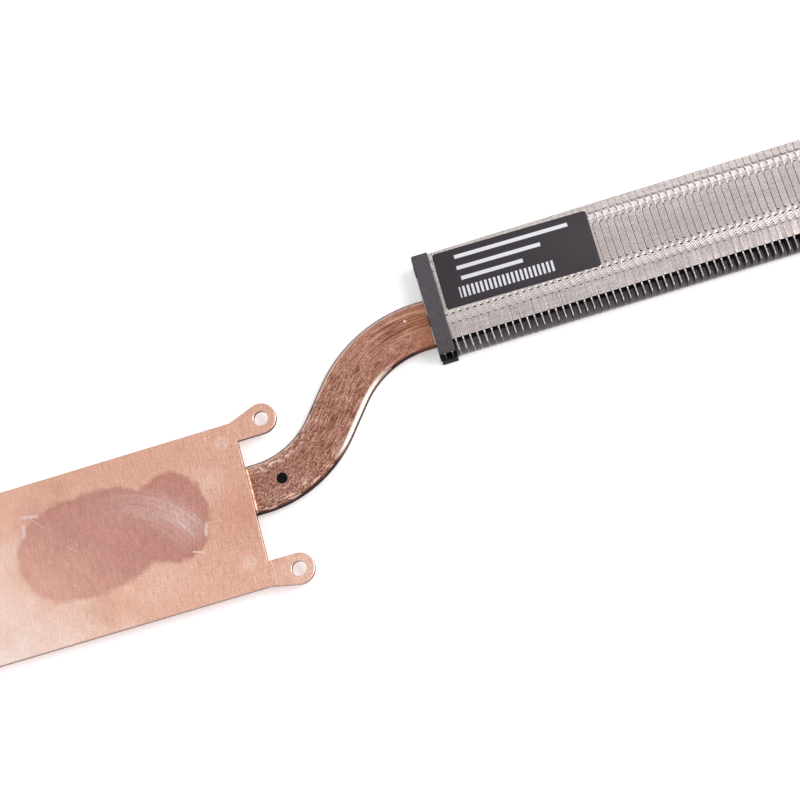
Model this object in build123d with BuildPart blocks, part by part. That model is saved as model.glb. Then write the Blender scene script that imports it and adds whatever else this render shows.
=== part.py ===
"""Laptop heatsink: a copper cold plate, a flattened heat pipe and a stack of zipper-locked fins.

Millimetres, +Z up. The origin is the centre of the four screw holes, in the plane of the plate's upper face,
which presses on the processor. +X runs along the plate towards the fin stack.
"""

import os
from math import cos, radians, sin

from build123d import *

# Cold plate: a punched copper sheet with a screw lug at each corner
plate_length = 52.0
plate_width = 30.0
plate_thickness = 1.0
plate_offset = -0.4  # from the line midway between the holes to the middle of the sheet
hole_diameter = 2.6
hole_inset = 1.2  # from the long edge of the sheet to the hole, taken as the mean of both edges
hole_reach = 4.95  # from the end of the sheet to the hole
lug_radius = 2.75
lug_lead = 0.7  # straight stretch before the lug flares out
crease_width = 0.24
crease_depth = 0.05

# Heat pipe: a round copper tube pressed flat, with an S-bend between the plate and the fins
pipe_width = 9.1
pipe_thickness = 1.5
pipe_offset = 2.0  # from the line midway between the holes to the middle of the pipe
pipe_setback = 2.0  # from the far end of the plate to the sealed end
pipe_lead = 1.6  # from the plate to the first bend
first_bend_radius = 18.6
second_bend_radius = 21.0
bend_angle = 51.3
bend_run = 6.45  # straight stretch between the two bends
nose_length = 3.0  # the sealed end in the fin stack is squeezed to a narrow nose
nose_width = 5.0
nose_thickness = 0.9

# Fins: folded sheets with the web at the right and all flanges towards the plate
fin_count = 55
fin_pitch = 1.29
fin_sheet = 0.2
fin_gap = 0.08  # between one flange and the next web
fin_height = 4.0
fin_overhang = 2.2  # bare web in front of the top flange
stack_lead = 1.65  # from the end of the second bend to the first flange
front_foot = 2.35  # bottom tab in front of the pipe
stack_setback = 1.0  # from the sealed end of the pipe to the end of the stack
channel_clearance = 0.1  # beside the pipe
solder_gap = 0.05  # between the pipe and the flange that is soldered to it

# Top flange, from the rear edge to the front: tab, tongue, tab, tongue, tab, with a slit between them
rear_tab = 1.45
rear_tongue = 1.9
middle_tab = 7.4
front_tongue = 2.55
front_tab = 2.7
slit = 0.1
lock_reach = 0.06  # a tongue laps this far past its neighbour's web
lock_clearance = 0.03

# Foam strips and label
foam_width = 2.9
foam_thickness = 1.0
foam_inset = 0.15  # from the first flange
foam_overhang = 0.5  # past the front edge of the fins
label_length = 28.0
label_width = 10.6
label_thickness = 0.1
label_corner = 0.5
label_lead = 3.7  # from the first flange
label_inset = 0.7  # from the rear edge of the fins
label_turn = -0.9

# Levels
pipe_top = -plate_thickness
pipe_bottom = pipe_top - pipe_thickness
fin_bottom = pipe_bottom
fin_top = fin_bottom + fin_height
solder_level = pipe_top + solder_gap

# Places along and across the part
plate_end = plate_length / 2
hole_spacing_x = plate_length + 2 * hole_reach
hole_spacing_y = plate_width - 2 * hole_inset
bend_start = plate_end + pipe_lead
bend_radii = first_bend_radius + second_bend_radius
bend_end = bend_start + bend_radii * sin(radians(bend_angle)) + bend_run * cos(radians(bend_angle))
bend_shift = bend_radii * (1 - cos(radians(bend_angle))) + bend_run * sin(radians(bend_angle))
stack_middle = pipe_offset + bend_shift
stack_start = bend_end + stack_lead
stack_end = stack_start + fin_count * fin_pitch - fin_gap
channel_width = pipe_width + 2 * channel_clearance
channel_front = stack_middle - channel_width / 2
channel_rear = stack_middle + channel_width / 2
flange_width = rear_tab + rear_tongue + middle_tab + front_tongue + front_tab + 4 * slit
web_depth = flange_width + fin_overhang
front_edge = channel_front - front_foot
rear_edge = front_edge + web_depth

os.makedirs("parts", exist_ok=True)

# Cold plate
with BuildPart() as base_plate:
    with BuildSketch(Plane.XY.offset(-plate_thickness)):
        with Locations((0, plate_offset)):
            Rectangle(plate_length, plate_width)
        for side in (-1, 1):
            outer_edge = plate_offset + side * plate_width / 2
            inner_edge = side * (hole_spacing_y / 2 - lug_radius)
            for end in (-1, 1):
                with BuildSketch(mode=Mode.PRIVATE) as lug:
                    with Locations((end * hole_spacing_x / 2, side * hole_spacing_y / 2)):
                        Circle(lug_radius)
                    with Locations((end * plate_end, (outer_edge + inner_edge) / 2)):
                        Rectangle(2 * lug_lead, abs(outer_edge - inner_edge))
                    make_hull()
                add(lug.sketch)
    extrude(amount=plate_thickness)
    with GridLocations(hole_spacing_x, hole_spacing_y, 2, 2):
        Hole(hole_diameter / 2)
    with BuildSketch(Plane.XZ):
        for end in (-1, 1):
            crease_x = end * (plate_end + lug_lead)
            with BuildLine():
                Polyline(
                    (crease_x - crease_width / 2, 0),
                    (crease_x, -crease_depth),
                    (crease_x + crease_width / 2, 0),
                    close=True,
                )
            make_face()
    extrude(amount=plate_width, both=True, mode=Mode.SUBTRACT)
base_plate.part.label = "base_plate"
export_step(base_plate.part, "parts/base_plate.step")

# Heat pipe
with BuildPart() as heat_pipe:
    with BuildLine(Plane.XY.offset(pipe_top - pipe_thickness / 2)) as route:
        plate_run = Line((pipe_setback - plate_end, pipe_offset), (bend_start, pipe_offset))
        first_bend = JernArc(plate_run @ 1, plate_run % 1, first_bend_radius, bend_angle)
        slope = Line(first_bend @ 1, first_bend @ 1 + bend_run * (first_bend % 1))
        second_bend = JernArc(slope @ 1, slope % 1, second_bend_radius, -bend_angle)
        channel_length = stack_end - stack_setback - nose_length - bend_end
        channel_run = Line(second_bend @ 1, second_bend @ 1 + channel_length * (second_bend % 1))
    with BuildSketch(Plane(plate_run @ 0, x_dir=(0, 1, 0), z_dir=(1, 0, 0))):
        SlotOverall(pipe_width, pipe_thickness)
    sweep(path=route.wire())
    nose = Plane(channel_run @ 1, x_dir=(0, 1, 0), z_dir=(1, 0, 0))
    with BuildSketch(nose):
        SlotOverall(pipe_width, pipe_thickness)
    with BuildSketch(nose.offset(nose_length)):
        SlotOverall(nose_width, nose_thickness)
    loft(ruled=True)
heat_pipe.part.label = "heat_pipe"
export_step(heat_pipe.part, "parts/heat_pipe.step")

# One fin, with its first flange edge at x = 0
web_left = fin_pitch - fin_gap - fin_sheet
lock_drop = (fin_sheet + lock_clearance) * (fin_pitch + lock_reach) / (fin_pitch - fin_sheet)
rear_tongue_edge = rear_edge - rear_tab - slit
middle_tab_edge = rear_tongue_edge - rear_tongue - slit
front_tongue_edge = middle_tab_edge - middle_tab - slit
front_tab_edge = front_tongue_edge - front_tongue - slit
tabs = ((rear_edge, rear_tab), (middle_tab_edge, middle_tab), (front_tab_edge, front_tab))
tongues = ((rear_tongue_edge, rear_tongue), (front_tongue_edge, front_tongue))

with BuildPart() as fin_blank:
    # Web, cut away over the pipe and below each tongue of the next fin
    with BuildSketch(Plane.YZ.offset(web_left)):
        with Locations((front_edge, fin_bottom)):
            Rectangle(web_depth, fin_height, align=Align.MIN)
        with Locations((channel_front, fin_bottom)):
            Rectangle(channel_width, solder_level - fin_bottom, align=Align.MIN, mode=Mode.SUBTRACT)
        for tongue_edge, tongue_width in tongues:
            with Locations((tongue_edge + slit, fin_top)):
                Rectangle(tongue_width + 2 * slit, lock_drop, align=Align.MAX, mode=Mode.SUBTRACT)
    extrude(amount=fin_sheet)
    # Top tabs
    with BuildSketch(Plane.XY.offset(fin_top - fin_sheet)):
        for tab_edge, tab_width in tabs:
            with Locations((0, tab_edge)):
                Rectangle(web_left, tab_width, align=(Align.MIN, Align.MAX))
    extrude(amount=fin_sheet)
    # Tongues, each rising from its own web to lap over the next one
    tip = -fin_gap - fin_sheet - lock_reach
    for tongue_edge, tongue_width in tongues:
        with BuildSketch(Plane.XZ.offset(-tongue_edge)):
            with BuildLine():
                Polyline(
                    (web_left, fin_top - lock_drop),
                    (tip, fin_top),
                    (tip, fin_top - fin_sheet),
                    (web_left, fin_top - lock_drop - fin_sheet),
                    close=True,
                )
            make_face()
        extrude(amount=tongue_width)
    # Bottom tabs beside the pipe, and the flange that is soldered to it
    with BuildSketch(Plane.XY.offset(fin_bottom)):
        with Locations((0, front_edge)):
            Rectangle(web_left, channel_front - front_edge, align=Align.MIN)
        with Locations((0, channel_rear)):
            Rectangle(web_left, rear_edge - channel_rear, align=Align.MIN)
    extrude(amount=fin_sheet)
    with BuildSketch(Plane.XY.offset(solder_level)):
        with Locations((0, channel_front)):
            Rectangle(web_left, channel_width, align=Align.MIN)
    extrude(amount=fin_sheet)

# Fin stack
for number in range(fin_count):
    with BuildPart() as fin:
        with Locations((stack_start + number * fin_pitch, 0)):
            add(fin_blank.part)
    fin.part.label = f"fin_{number + 1:02d}"
    export_step(fin.part, f"parts/{fin.part.label}.step")

# Foam strips, above and below the first fins
foam_levels = {"foam_strip_top": fin_top, "foam_strip_bottom": fin_bottom - foam_thickness}
for foam_name, foam_level in foam_levels.items():
    with BuildPart() as foam_strip:
        with BuildSketch(Plane.XY.offset(foam_level)):
            with Locations((stack_start + foam_inset, rear_edge)):
                Rectangle(foam_width, web_depth + foam_overhang, align=(Align.MIN, Align.MAX))
        extrude(amount=foam_thickness)
    foam_strip.part.label = foam_name
    export_step(foam_strip.part, f"parts/{foam_name}.step")

# Label
with BuildPart() as label:
    with BuildSketch(Plane.XY.offset(fin_top)):
        label_x = stack_start + label_lead + label_length / 2
        label_y = rear_edge - label_inset - label_width / 2
        with Locations(Location((label_x, label_y, 0), (0, 0, label_turn))):
            Rectangle(label_length, label_width)
    extrude(amount=label_thickness)
    chamfer(label.edges().filter_by(Axis.Z), label_corner)
label.part.label = "label"
export_step(label.part, "parts/label.step")
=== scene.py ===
"""A laptop heatsink module on a white table: cold plate, heat pipe, fin stack, foam strips and label.

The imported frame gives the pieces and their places.
This script gives them their finish, the light and the camera.
"""

import math
import random

import bmesh
import bpy
from mathutils import Matrix, Vector, noise


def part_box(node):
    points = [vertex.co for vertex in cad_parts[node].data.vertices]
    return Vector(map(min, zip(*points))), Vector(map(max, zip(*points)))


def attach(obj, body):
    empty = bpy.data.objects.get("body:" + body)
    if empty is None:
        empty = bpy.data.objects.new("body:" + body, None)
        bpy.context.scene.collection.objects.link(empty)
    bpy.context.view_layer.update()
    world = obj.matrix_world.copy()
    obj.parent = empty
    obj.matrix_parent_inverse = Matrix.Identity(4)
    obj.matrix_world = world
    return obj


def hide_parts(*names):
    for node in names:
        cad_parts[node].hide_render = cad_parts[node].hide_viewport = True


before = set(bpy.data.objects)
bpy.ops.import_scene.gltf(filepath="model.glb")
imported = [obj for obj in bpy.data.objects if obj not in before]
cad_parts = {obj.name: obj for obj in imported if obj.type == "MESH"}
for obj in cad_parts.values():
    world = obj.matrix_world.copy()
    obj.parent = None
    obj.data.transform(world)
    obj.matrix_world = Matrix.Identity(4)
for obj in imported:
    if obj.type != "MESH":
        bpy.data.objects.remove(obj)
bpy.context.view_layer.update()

# Cold plate. A sheet of soft copper, punched with a screw lug at each corner, so its edges are rolled.
# The upper face is ground with fine crossed lines and keeps the stain that the wiped-off paste has left.
mm = 0.001
plate_edge_roll = 0.16 * mm
weld_distance = 0.002 * mm
flat_angle = math.radians(2)
sharp_angle = math.radians(35)
crease_angle = math.radians(18)
bpy.ops.object.select_all(action="DESELECT")
plate = bpy.data.objects.new("cold_plate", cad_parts["base_plate"].data.copy())
bpy.context.collection.objects.link(plate)
bpy.context.view_layer.objects.active = plate
plate.select_set(True)
bpy.ops.object.mode_set(mode="EDIT")
bpy.ops.mesh.select_all(action="SELECT")
bpy.ops.mesh.remove_doubles(threshold=weld_distance)
bpy.ops.mesh.dissolve_limited(angle_limit=flat_angle)
bpy.ops.object.mode_set(mode="OBJECT")


def finish_with(kind, **settings):
    """Adds a modifier to the active piece and applies it."""
    modifier = bpy.context.object.modifiers.new(kind.lower(), kind)
    for name, value in settings.items():
        setattr(modifier, name, value)
    bpy.ops.object.modifier_apply(modifier=modifier.name)


finish_with("BEVEL", width=plate_edge_roll, segments=2, limit_method="ANGLE", angle_limit=sharp_angle)
bpy.ops.object.shade_smooth_by_angle(angle=crease_angle)
finish_with("WEIGHTED_NORMAL", keep_sharp=True)


def linear(hex_colour):
    """An sRGB hex colour as linear red, green, blue and alpha."""
    channels = [int(hex_colour[start : start + 2], 16) / 255 for start in (0, 2, 4)]
    bent = [c / 12.92 if c <= 0.04045 else ((c + 0.055) / 1.055) ** 2.4 for c in channels]
    return (*bent, 1.0)


def new_material(name):
    """An empty node material."""
    material = bpy.data.materials.new(name)
    material.use_nodes = True
    material.node_tree.nodes.clear()
    return material


def add_node(owner, kind, inputs, output=0, **settings):
    """Adds a node with settings and inputs, each a value or another node's output, and gives one output."""
    made = owner.node_tree.nodes.new("ShaderNode" + kind)
    for name, value in settings.items():
        setattr(made, name, value)
    for name, value in inputs.items():
        if isinstance(value, bpy.types.NodeSocket):
            owner.node_tree.links.new(value, made.inputs[name])
        else:
            made.inputs[name].default_value = value
    return made.outputs[output] if made.outputs else None


def within(owner, most, *limits):
    """A strength that fades past soft limits, each a measure with its values for nothing and for the most."""
    strength = most
    for measure, nothing, full in limits:
        limit = add_node(owner, "MapRange", {"Value": measure, "From Min": nothing, "From Max": full})
        strength = add_node(owner, "Math", {0: strength, 1: limit}, operation="MULTIPLY")
    return strength


def lay_coats(owner, ground, coats):
    """A hex colour under coats, each a strength with a hex colour or a node's output, and maybe its blend."""
    colour = linear(ground)
    for strength, coat, *blend in coats:
        mixed = {0: strength, 6: colour, 7: linear(coat) if isinstance(coat, str) else coat}
        blend_type = blend[0] if blend else "MIX"
        colour = add_node(owner, "Mix", mixed, output=2, data_type="RGBA", blend_type=blend_type)
    return colour


# Brushed copper: a pale salmon metal, satin because the grinding lines scatter what it reflects.
# The lines are some 0.05 mm apart and are drawn four times as coarse, so that they show in the render.
copper = new_material("brushed_copper")
line_spacing = 0.22
line_length = 2.4
cross_share = 0.35
grit_size = 0.24
grit_share = 0.42
cloud_size = 9.0
place = add_node(copper, "TexCoord", {}, output="Object")
place = add_node(copper, "Mapping", {"Vector": place, "Scale": (1 / mm, 1 / mm, 1 / mm)})
sides = add_node(copper, "SeparateXYZ", {"Vector": place}).node.outputs
strokes = []
for stroke_x, stroke_y in ((line_spacing, line_length), (line_length, line_spacing)):
    stroke_scale = (1 / stroke_x, 1 / stroke_y, 1 / line_length)
    stroke = add_node(copper, "Mapping", {"Vector": place, "Scale": stroke_scale})
    stroke = add_node(copper, "TexNoise", {"Vector": stroke, "Scale": 1.0, "Detail": 4.0, "Roughness": 0.7})
    strokes.append(stroke)
lines = add_node(copper, "Mix", {0: cross_share, 2: strokes[0], 3: strokes[1]}, data_type="FLOAT")
grit = add_node(
    copper, "TexNoise", {"Vector": place, "Scale": 1 / grit_size, "Detail": 3.0, "Roughness": 0.75}
)
lines = add_node(copper, "Mix", {0: grit_share, 2: lines, 3: grit}, data_type="FLOAT")
clouds = add_node(
    copper, "TexNoise", {"Vector": place, "Scale": 1 / cloud_size, "Detail": 5.0, "Roughness": 0.6}
)

# The face is deepest in colour beside the pipe and paler towards the front corner of the free end, a painted
# sheen
coats = []
bleach_way = (0.85, 1.05, 0)
slope = add_node(copper, "VectorMath", {0: place, 1: bleach_way}, output="Value", operation="DOT_PRODUCT")
bleach = within(copper, 1.0, (slope, 16.0, -36.0))
bleach = add_node(copper, "Math", {0: bleach, 1: clouds}, operation="ADD")
for nothing, full, bleached in ((0.55, 1.15, "EEC1AD"), (1.0, 1.5, "FBE3D9")):
    coats.append((within(copper, 1.0, (bleach, nothing, full)), bleached))

# Paste stain: three round patches that run together with a ragged rim, fainter at the free end and in front.
# Each patch has its middle and its radius, along the plate and across it. The rim's lobes are counted per mm.
stain_patches = ((-6.0, 0.7, 10.9, 9.3), (1.0, 1.1, 8.5, 8.6), (10.8, 1.3, 7.4, 7.9))
far_off = 9.0
rim_lobes = 0.22
rim_wander = 3.2
mottle_sizes = (0.9, 2.2, 2.2)
mottle_share = 0.9
rim_noise = add_node(copper, "TexNoise", {"Vector": place, "Scale": rim_lobes, "Detail": 5.0}, output="Color")
rim_shift = add_node(copper, "VectorMath", {0: rim_noise, 1: (0.5, 0.5, 0.5)}, operation="SUBTRACT")
rim_shift = add_node(copper, "VectorMath", {0: rim_shift, "Scale": rim_wander}, operation="SCALE")
ragged = add_node(copper, "VectorMath", {0: place, 1: rim_shift}, operation="ADD")
reach = far_off
for centre_x, centre_y, radius_x, radius_y in stain_patches:
    patch_shift = (-centre_x / radius_x, -centre_y / radius_y, 0)
    patch_scale = (1 / radius_x, 1 / radius_y, 0)
    patch = add_node(copper, "Mapping", {"Vector": ragged, "Location": patch_shift, "Scale": patch_scale})
    patch = add_node(copper, "VectorMath", {0: patch}, output="Value", operation="LENGTH")
    reach = add_node(copper, "Math", {0: reach, 1: patch}, operation="MINIMUM")
stain = within(copper, 0.9, (reach, 1.05, 0.95))
mottle = add_node(copper, "Mapping", {"Vector": place, "Scale": [1 / size for size in mottle_sizes]})
mottle = add_node(copper, "TexNoise", {"Vector": mottle, "Scale": 1.0, "Detail": 4.0, "Roughness": 0.65})
stain_way = add_node(copper, "Math", {0: sides["X"], 1: sides["Y"]}, operation="ADD")
stain_age = within(copper, 1.0, (stain_way, -22.0, 18.0))
stain_age = add_node(copper, "Math", {0: stain_age, 1: clouds}, operation="ADD")
stain_age = add_node(copper, "Math", {0: mottle, 1: mottle_share, 2: stain_age}, operation="MULTIPLY_ADD")
stain_age = within(copper, 1.0, (stain_age, 0.75, 1.65))
stain_rim = within(copper, 0.22, (reach, 0.78, 0.97), (stain_age, 0.0, 1.0))
stain_tone = lay_coats(copper, "EBB8A8", [(stain_age, "C68F84"), (stain_rim, "B57C70")])
coats.append((stain, stain_tone))

# Brown smudges and pale halos beside the stain: middle, size, strength and colour
smudges = (
    (-6.7, 11.9, 2.6, 0.5, "CB937C"),
    (-5.0, -11.0, 3.4, 0.4, "CB937C"),
    (24.5, -2.0, 7.0, 0.5, "C88F78"),
    (18.4, 5.2, 5.0, 0.6, "EFCDBF"),
    (7.5, -8.6, 5.0, 0.4, "F2D0C2"),
    (-17.0, 4.0, 4.0, 0.5, "F2D3C6"),
    (31.5, -13.8, 6.5, 0.9, "EFC8B7"),
    (-12.0, 7.5, 5.5, 0.75, "CD9788"),
)
for smudge_x, smudge_y, size, most, smudge_colour in smudges:
    middle = (smudge_x, smudge_y, 0)
    away = add_node(copper, "VectorMath", {0: ragged, 1: middle}, output="Value", operation="DISTANCE")
    smudge = within(copper, most, (away, size, 0.0), (stain, 1.0, 0.0))
    coats.append((smudge, smudge_colour))

# Wiping streaks: pale arcs about one centre, where a cloth has gone round.
# They are counted per mm outwards and per radian round.
wipe_centre = (-0.4, -10.65, 0)
streak_scale = (1.9, 1.1, 1.0)
swing = add_node(copper, "VectorMath", {0: place, 1: wipe_centre}, operation="SUBTRACT")
swing = add_node(copper, "VectorMath", {0: swing, 1: (1, 1, 0)}, operation="MULTIPLY")
wipe_radius = add_node(copper, "VectorMath", {0: swing}, output="Value", operation="LENGTH")
swing = add_node(copper, "SeparateXYZ", {"Vector": swing}).node.outputs
wipe_angle = add_node(copper, "Math", {0: swing["Y"], 1: swing["X"]}, operation="ARCTAN2")
streaks = add_node(copper, "CombineXYZ", {"X": wipe_radius, "Y": wipe_angle})
streaks = add_node(copper, "Mapping", {"Vector": streaks, "Scale": streak_scale})
streaks = add_node(copper, "TexNoise", {"Vector": streaks, "Scale": 1.0, "Detail": 4.0, "Roughness": 0.65})
wipe = within(copper, 0.72, (streaks, 0.3, 0.7), (wipe_radius, 13.0, 16.6), (wipe_radius, 20.6, 18.4))
wipe = within(copper, wipe, (wipe_angle, 0.36, 0.6), (wipe_angle, 1.75, 0.75))
coats.append((wipe, "EFDAD5"))

# Pale marks where the processor's corners have rubbed, and two thin scratches: middle, length, width and turn
corner_marks = (
    (-13.3, 8.7, 3.3, 0.6, -11.5),
    (-14.9, 6.5, 2.6, 0.7, 77.0),
    (14.6, -6.0, 2.1, 0.35, -17.0),
    (16.9, -2.6, 2.4, 0.6, 76.0),
    (-12.1, 7.1, 3.5, 0.14, -48.0),
    (-6.9, 0.8, 1.6, 0.14, -40.0),
)
for mark_x, mark_y, mark_length, mark_width, mark_turn in corner_marks:
    turn = math.radians(-mark_turn)
    turned = Matrix.Rotation(turn, 3, "Z") @ Vector((mark_x, mark_y, 0))
    mark_scale = (1 / mark_length, 1 / mark_width, 0)
    mark = add_node(copper, "Mapping", {"Vector": place, "Location": -turned, "Rotation": (0, 0, turn)})
    mark = add_node(copper, "VectorMath", {0: mark}, operation="ABSOLUTE")
    mark = add_node(copper, "VectorMath", {0: mark, 1: mark_scale}, operation="MULTIPLY")
    mark = add_node(copper, "SeparateXYZ", {"Vector": mark}).node.outputs
    mark = add_node(copper, "Math", {0: mark["X"], 1: mark["Y"]}, operation="MAXIMUM")
    coats.append((within(copper, 0.75, (mark, 0.58, 0.36)), "ECD3CB"))

# Faint discs with a pale rim, where the press has held the sheet
rim_radius = 1.05
for disc_middle in ((23.2, 11.5, 0), (22.9, -10.5, 0)):
    away = add_node(copper, "VectorMath", {0: place, 1: disc_middle}, output="Value", operation="DISTANCE")
    rim = add_node(copper, "Math", {0: away, 1: rim_radius}, operation="SUBTRACT")
    rim = add_node(copper, "Math", {0: rim}, operation="ABSOLUTE")
    rim = within(copper, 0.4, (rim, 0.34, 0.0))
    disc = within(copper, 0.3, (away, 1.1, 0.8))
    disc = add_node(copper, "Math", {0: rim, 1: disc}, operation="MAXIMUM")
    coats.append((disc, "F7DED2"))

# The grinding lines darken and lighten all of this, less so towards the worn free end
grain = add_node(
    copper, "MapRange", {"Value": lines, "From Min": 0.36, "From Max": 0.64, "To Min": 0.54, "To Max": 1.46}
)
worn = within(copper, 0.55, (sides["X"], 26.0, -20.0))
grain = add_node(copper, "Mix", {0: worn, 2: grain, 3: 1.0}, data_type="FLOAT")
coats.append((1.0, grain, "MULTIPLY"))
colour = lay_coats(copper, "E3B09B", coats)
relief = add_node(copper, "Bump", {"Strength": 0.4, "Distance": 0.02 * mm, "Height": lines})
dull = add_node(copper, "MapRange", {"Value": stain, "To Min": 0.42, "To Max": 0.5})
satin = {"Base Color": colour, "Metallic": 1.0, "Roughness": dull, "Normal": relief}
surface = add_node(copper, "BsdfPrincipled", satin)
add_node(copper, "OutputMaterial", {"Surface": surface})


def mottled_metal(name, dark, pale, grain_sizes, detail, roughness, relief=None):
    """A metal of two mingled colours: its grain's size on each axis, and its relief's strength and depth."""
    material = new_material(name)
    grain_scale = [1 / (size * mm) for size in grain_sizes]
    spots = add_node(material, "TexCoord", {}, output="Object")
    spots = add_node(material, "Mapping", {"Vector": spots, "Scale": grain_scale})
    spots = add_node(material, "TexNoise", {"Vector": spots, "Scale": 1.0, "Detail": detail})
    mingled = lay_coats(material, dark, [(spots, pale)])
    metal = {"Base Color": mingled, "Metallic": 1.0, "Roughness": roughness}
    if relief:
        raised = {"Strength": relief[0], "Distance": relief[1] * mm, "Height": spots}
        metal["Normal"] = add_node(material, "Bump", raised)
    surface = add_node(material, "BsdfPrincipled", metal)
    add_node(material, "OutputMaterial", {"Surface": surface})
    return material


# Cut copper: the cut edge of the sheet, torn and scored upright, and painted darker than the faces, a painted
# shade
score_sizes = (0.25, 0.25, 1 / 0.6)
sheared = mottled_metal(
    "sheared_copper", "3A2018", "6E463A", score_sizes, detail=3.0, roughness=0.5, relief=(0.5, 0.03)
)

# Edge copper: the rolled edges and the creases of the lugs, glossier than the faces and painted pale, a
# painted highlight
rub_sizes = (0.8, 0.8, 0.8)
rubbed = mottled_metal("rubbed_copper", "D9A08B", "FFE6DA", rub_sizes, detail=4.0, roughness=0.36)

# A face is a cut side or a rolled edge by how far its normal tilts up or down
side_tilt = 0.3
rolled_tilt = 0.98
plate.data.materials.clear()
for finish in (copper, sheared, rubbed):
    plate.data.materials.append(finish)
for face in plate.data.polygons:
    tilt = abs(face.normal.z)
    if tilt < rolled_tilt:
        face.material_index = 1 if tilt < side_tilt else 2
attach(plate, "root")
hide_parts("base_plate")

# Heat pipe. A round copper tube with a wick inside, bent in an S and pressed flat, so its sides stay round.
# It is soldered below the plate and runs in the fins' channel, with its sealed nose at the far end.
pipe_low, pipe_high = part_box("heat_pipe")
pipe_width = 9.1 * mm
pipe_thickness = pipe_high.z - pipe_low.z
pipe_middle = (pipe_high.z + pipe_low.z) / 2
first_run_y = pipe_low.y + pipe_width / 2
last_run_y = pipe_high.y - pipe_width / 2
bend_start = 27.6 * mm
first_bend_radius = 18.6 * mm
second_bend_radius = 21.0 * mm
bend_angle = math.radians(51.3)
bend_run = 6.45 * mm
fin_entry = 4.0 * mm
nose_length = 3.0 * mm
nose_width = 5.0 * mm
nose_thickness = 0.9 * mm
nose_steps = 4
nearly_half = 0.4999
straight = Vector((1, 0, 0))
slope_way = Vector((math.cos(bend_angle), math.sin(bend_angle), 0))
slope_side = Vector((math.sin(bend_angle), -math.cos(bend_angle), 0))
first_centre = Vector((bend_start, first_run_y + first_bend_radius, pipe_middle))
slope_start = first_centre + slope_side * first_bend_radius
slope_end = slope_start + slope_way * bend_run
second_centre = slope_end + slope_side * second_bend_radius
bend_end = second_centre.x


def start_piece(name, add_primitive, scale, **settings):
    """Adds a primitive at its size and place and leaves it in edit mode, with all of it selected."""
    bpy.ops.object.select_all(action="DESELECT")
    add_primitive(**settings)
    piece = bpy.context.object
    piece.name = name
    piece.scale = scale
    bpy.ops.object.transform_apply(location=True, rotation=True, scale=True)
    bpy.ops.object.mode_set(mode="EDIT")
    bpy.ops.mesh.select_all(action="SELECT")
    return piece


def close_piece():
    """Turns all faces of the edited piece outwards and leaves edit mode."""
    bpy.ops.mesh.select_all(action="SELECT")
    bpy.ops.mesh.normals_make_consistent(inside=False)
    bpy.ops.object.mode_set(mode="OBJECT")


def select_where(kind, test):
    """Selects the edited mesh's vertices, edges or faces that pass the test, and nothing else."""
    bpy.ops.mesh.select_mode(type=kind)
    bpy.ops.mesh.select_all(action="DESELECT")
    shape = bmesh.from_edit_mesh(bpy.context.object.data)
    for element in {"VERT": shape.verts, "EDGE": shape.edges, "FACE": shape.faces}[kind]:
        if test(element):
            element.select_set(True)
    shape.select_flush_mode()
    bmesh.update_edit_mesh(bpy.context.object.data)


def ease(value, low, high):
    """A soft step from 0 at low to 1 at high."""
    share = min(1.0, max(0.0, (value - low) / (high - low)))
    return share * share * (3 - 2 * share)


def draw_out(way, length, steps):
    """Extrudes what is selected in a straight line, in even steps."""
    for _ in range(steps):
        bpy.ops.mesh.extrude_region_move(TRANSFORM_OT_translate={"value": way * (length / steps)})


pipe = start_piece(
    "flattened_pipe",
    bpy.ops.mesh.primitive_plane_add,
    (pipe_thickness, pipe_width, 1),
    size=1.0,
    location=(pipe_low.x, first_run_y, pipe_middle),
    rotation=(0, -math.pi / 2, 0),
)
bpy.ops.mesh.bevel(affect="VERTICES", offset=pipe_thickness * nearly_half, segments=9)
select_where("EDGE", lambda edge: edge.calc_length() > pipe_width / 2)
bpy.ops.mesh.subdivide(number_cuts=23)
bpy.ops.mesh.select_all(action="SELECT")
draw_out(straight, bend_start - pipe_low.x, steps=26)
bpy.ops.mesh.spin(steps=44, angle=-bend_angle, center=first_centre, axis=(0, 0, 1))
draw_out(slope_way, bend_run, steps=16)
bpy.ops.mesh.spin(steps=48, angle=bend_angle, center=second_centre, axis=(0, 0, 1))
draw_out(straight, fin_entry, steps=10)
draw_out(straight, pipe_high.x - nose_length - bend_end - fin_entry, steps=12)
for step in range(nose_steps):
    draw_out(straight, nose_length / nose_steps, steps=1)
    narrowing = []
    for full, end in ((pipe_width, nose_width), (pipe_thickness, nose_thickness)):
        loss = (full - end) / nose_steps
        narrowing.append((full - loss * (step + 1)) / (full - loss * step))
    bpy.ops.transform.resize(value=(1, *narrowing), center_override=(0, last_run_y, pipe_middle))
close_piece()


def place_on_pipe(point):
    """How far along the pipe a point is from the first bend, and how far left of its middle line, in mm."""
    flat = Vector((point.x, point.y, pipe_middle))
    if flat.x <= bend_start:
        along, across = flat.x - bend_start, flat.y - first_run_y
    elif (flat - slope_start).dot(slope_way) <= 0:
        spoke = flat - first_centre
        along = first_bend_radius * math.atan2(spoke.x, -spoke.y)
        across = first_bend_radius - spoke.length
    elif (flat - slope_end).dot(slope_way) <= 0:
        along = first_bend_radius * bend_angle + (flat - slope_start).dot(slope_way)
        across = -(flat - slope_start).dot(slope_side)
    elif flat.x <= bend_end:
        spoke = flat - second_centre
        turned = bend_angle - math.atan2(-spoke.x, spoke.y)
        along = first_bend_radius * bend_angle + bend_run + second_bend_radius * turned
        across = spoke.length - second_bend_radius
    else:
        along = (first_bend_radius + second_bend_radius) * bend_angle + bend_run + flat.x - bend_end
        across = flat.y - last_run_y
    return along / mm, across / mm


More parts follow.
